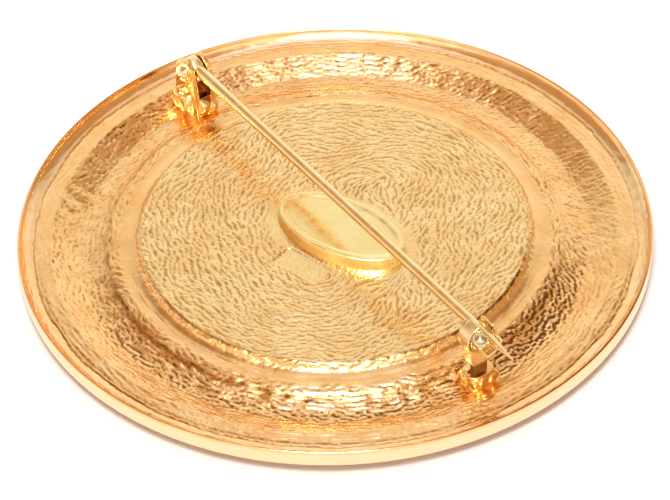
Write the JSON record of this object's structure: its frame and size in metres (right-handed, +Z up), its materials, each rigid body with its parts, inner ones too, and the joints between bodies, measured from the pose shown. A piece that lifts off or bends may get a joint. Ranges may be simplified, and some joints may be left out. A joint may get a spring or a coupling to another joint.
{
  "type": "circle brooch with hinged pin",
  "caption": "Round cast brooch lying face down: textured dished back with a bare oval plaque, a hinged pin across the middle and a catch with a turning safety sleeve.",
  "frame": {"origin": "on the table, under the middle of the brooch as it lies face down", "axes": "+Z points up out of the back, +X runs along the pin from the hinge to the catch, +Y is to the left of the pin seen from above with the point away"},
  "size_m": [0.06, 0.06, 0.0082],
  "materials": {
    "gold_casting": "gold plated casting, textured disc and trough, polished rim and rings",
    "gold_finding": "gold plated and polished"
  },
  "bodies": {
    "plate": {"cast_plate": "gold_casting", "hinge_rivet": "gold_finding"},
    "pin": {"pin_stem": "gold_finding"},
    "sleeve": {"catch_sleeve": "gold_finding"}
  },
  "joints": [
    {"name": "pin_swing", "type": "hinge", "parent": "plate", "child": "pin", "pos_m": [-0.0243, 0, 0.00575], "axis": [0, -1, 0], "range_deg": [0, 120]},
    {"name": "sleeve_turn", "type": "hinge", "parent": "plate", "child": "sleeve", "pos_m": [0.0233, -0.00038, 0.00658], "axis": [1, 0, 0], "range_deg": [0, 85]}
  ]
}
